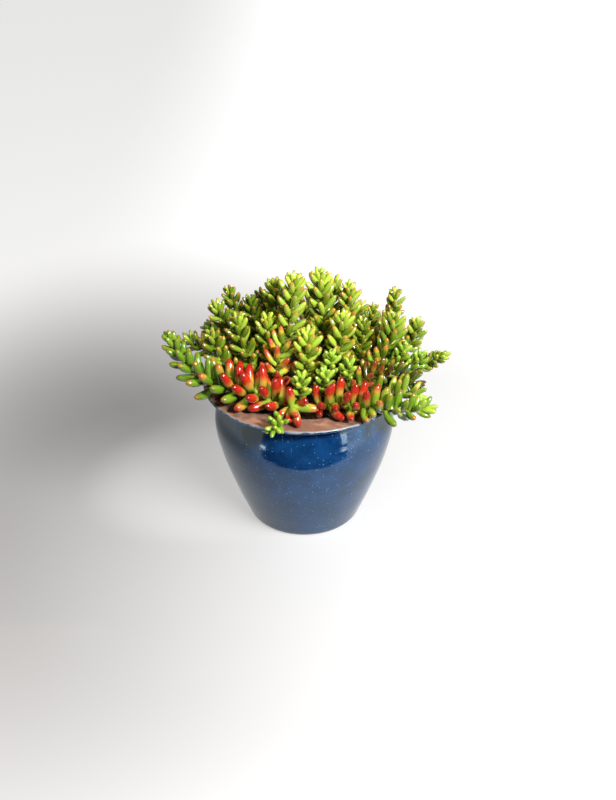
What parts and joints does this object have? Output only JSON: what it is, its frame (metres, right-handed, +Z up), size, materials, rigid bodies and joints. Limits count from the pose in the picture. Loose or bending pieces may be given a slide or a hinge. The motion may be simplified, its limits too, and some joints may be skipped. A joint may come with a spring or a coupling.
{
  "type": "potted jelly bean plant",
  "caption": "Potted jelly bean succulent: a glazed, wide-lipped stoneware pot filled with potting mix, with a clump of upright and trailing leafy stems.",
  "frame": {"origin": "on the pot's axis, at the surface that its foot stands on", "axes": "+Z up along the pot's axis; -Y is the plant's front, where its red trailing stems lie over the lip; +X to the right seen from the front"},
  "size_m": [0.2488, 0.2063, 0.2401],
  "materials": {
    "glazed_stoneware": "gloss",
    "potting_mix": "matte",
    "leaf_green": "satin",
    "leaf_blush": "satin",
    "leaf_red": "satin",
    "leaf_young": "satin"
  },
  "bodies": {
    "root": {"pot": "glazed_stoneware", "soil": "potting_mix", "trailer_left": "leaf_red", "trailer_right": "leaf_red", "trailer_front": "leaf_young", "stub_front": "leaf_red", "trailer_right_high": "leaf_blush", "trailer_right_low": "leaf_green", "trailer_right_far": "leaf_green", "leader_centre": "leaf_blush", "rosette_front": "leaf_young", "rosette_middle": "leaf_young", "rosette_right_low": "leaf_young", "rosette_right_high": "leaf_young", "inner_left_low": "leaf_green", "inner_left_high": "leaf_green", "inner_centre_left": "leaf_green", "inner_centre": "leaf_green", "inner_centre_right": "leaf_green", "left_high": "leaf_green", "left_back_high": "leaf_blush", "left_shade": "leaf_green", "crown_left": "leaf_green", "crown_left_back": "leaf_green", "crown_centre": "leaf_green", "crown_centre_back": "leaf_green", "crown_right": "leaf_blush", "crown_right_back": "leaf_blush", "inner_right": "leaf_green", "right_back_high": "leaf_blush", "right_high": "leaf_blush", "right_outer": "leaf_green", "right_small": "leaf_young", "right_small_low": "leaf_young", "back_left_low": "leaf_blush", "back_left_outer": "leaf_red", "back_left": "leaf_blush", "back_centre_left": "leaf_red", "back_centre": "leaf_blush", "back_centre_right": "leaf_red", "back_right": "leaf_blush", "back_right_outer": "leaf_green", "back_inner_left": "leaf_green", "back_inner_centre": "leaf_blush", "back_inner_right": "leaf_green"}
  },
  "joints": []
}
